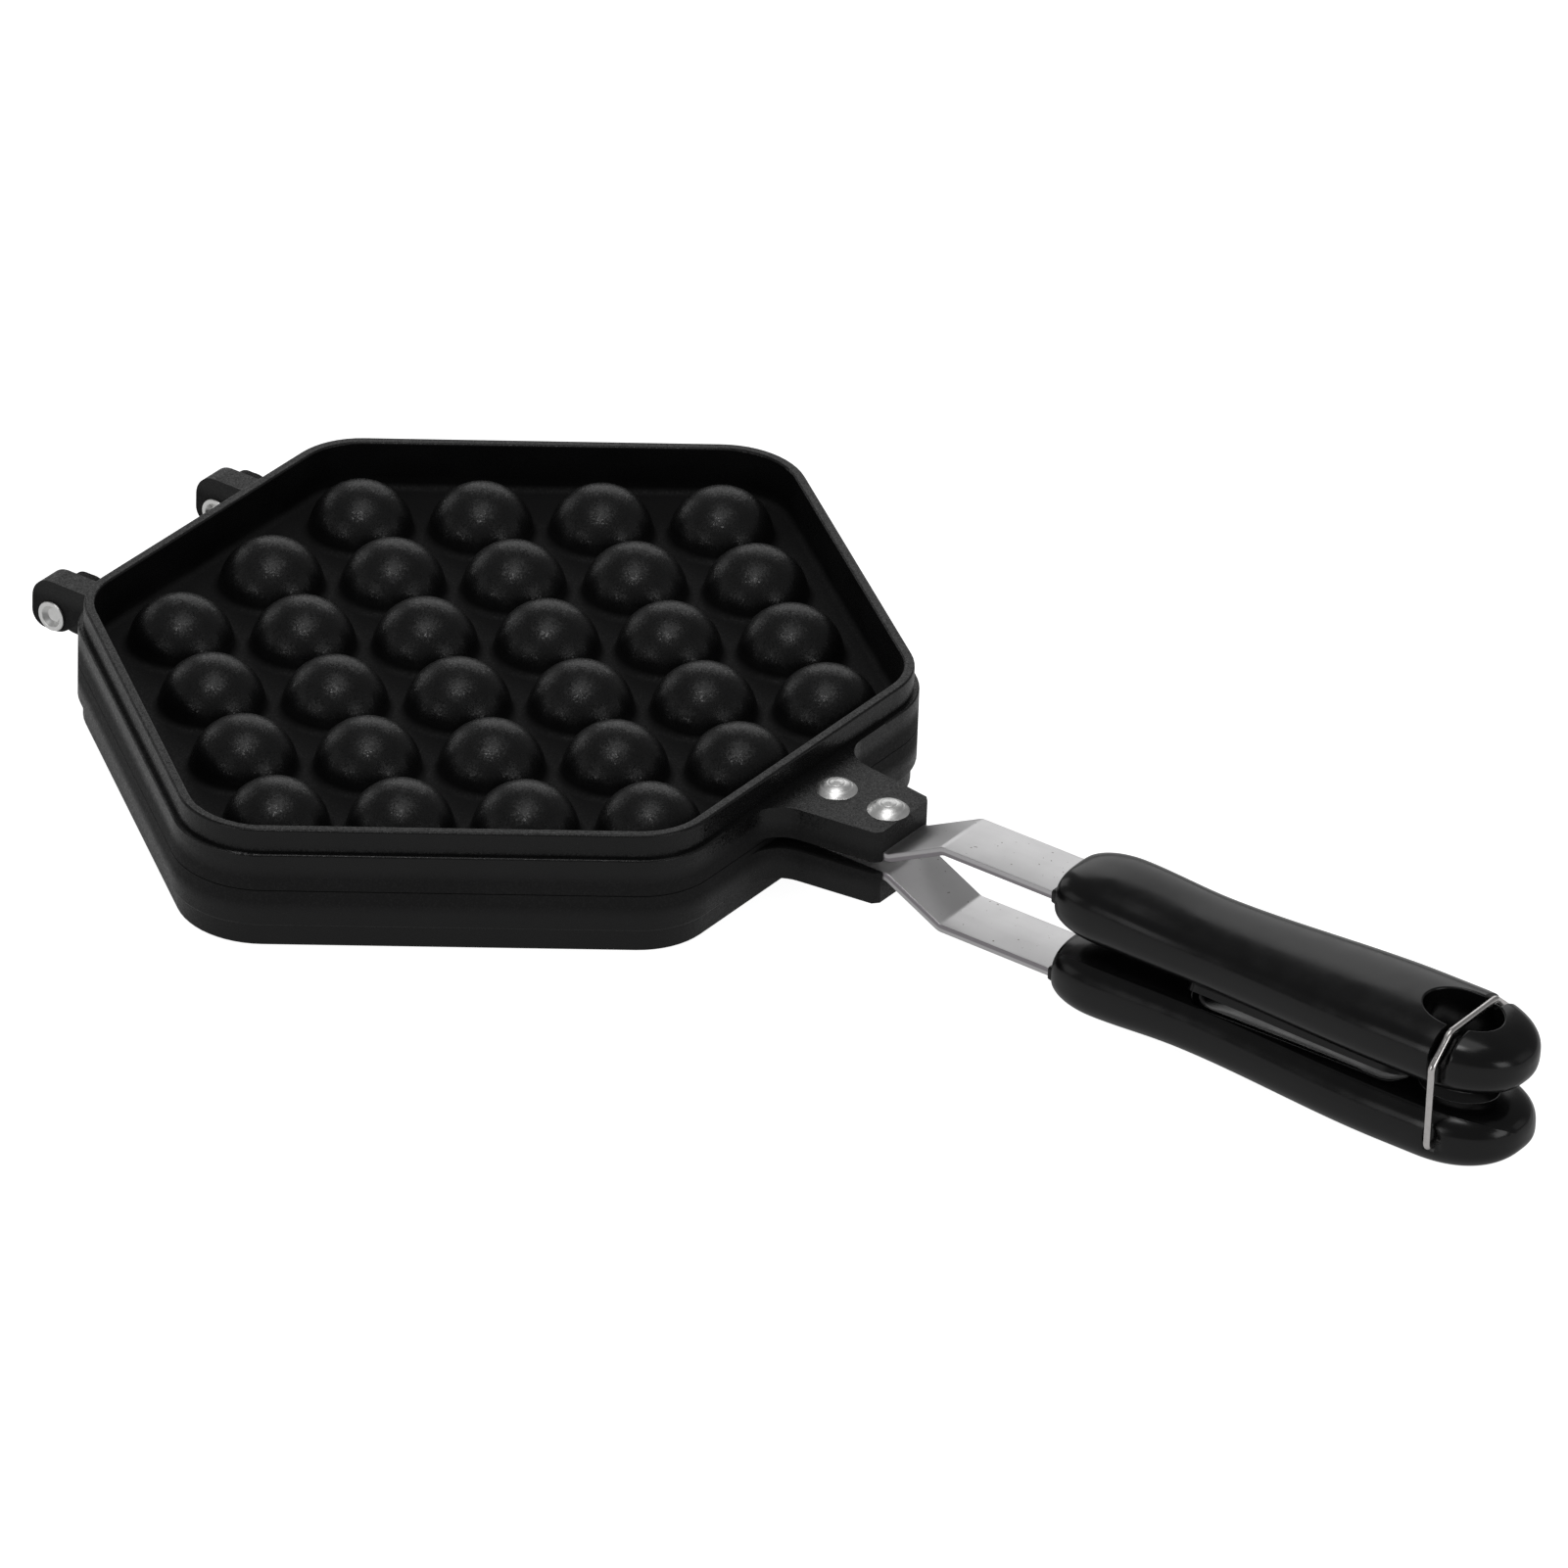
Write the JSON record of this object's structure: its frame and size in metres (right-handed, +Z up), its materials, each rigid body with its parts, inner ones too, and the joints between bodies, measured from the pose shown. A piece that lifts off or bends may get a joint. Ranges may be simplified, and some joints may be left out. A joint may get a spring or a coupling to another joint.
{
  "type": "egg waffle pan",
  "caption": "Hinged two-plate waffle pan: six-sided cast plates with half-round bubbles, cranked steel straps, moulded handles and a wire clip that locks them.",
  "frame": {"origin": "under the middle of the closed pan, level with the underside of the lower handle", "axes": "+X from the hinge to the handle tips, +Z up, square to the parting plane"},
  "size_m": [0.3671, 0.2042, 0.0338],
  "materials": {
    "coated_aluminium": "cast aluminium under a matt black non-stick coating",
    "strap_steel": "satin",
    "rivet_aluminium": "bright",
    "handle_plastic": "glossy black heat-proof moulding",
    "pin_aluminium": "bright rivet with a recessed end",
    "clip_wire": "bright plated steel wire"
  },
  "bodies": {
    "lower_half": {"lower_plate": "coated_aluminium", "lower_strap": "strap_steel", "lower_strap_rivet_near": "rivet_aluminium", "lower_strap_rivet_far": "rivet_aluminium", "lower_handle": "handle_plastic", "hinge_pin_left": "pin_aluminium", "hinge_pin_right": "pin_aluminium"},
    "upper_half": {"upper_plate": "coated_aluminium", "upper_strap": "strap_steel", "upper_strap_rivet_near": "rivet_aluminium", "upper_strap_rivet_far": "rivet_aluminium", "upper_handle": "handle_plastic"},
    "clip": {"wire_clip": "clip_wire"}
  },
  "joints": [
    {"name": "lid_hinge", "type": "hinge", "parent": "lower_half", "child": "upper_half", "pos_m": [-0.178, 0, 0.0168], "axis": [0, -1, 0], "range_deg": [0, 180]},
    {"name": "clip_swing", "type": "hinge", "parent": "lower_half", "child": "clip", "pos_m": [0.1687, 0, 0.0073], "axis": [0, 1, 0], "range_deg": [0, 100]}
  ]
}
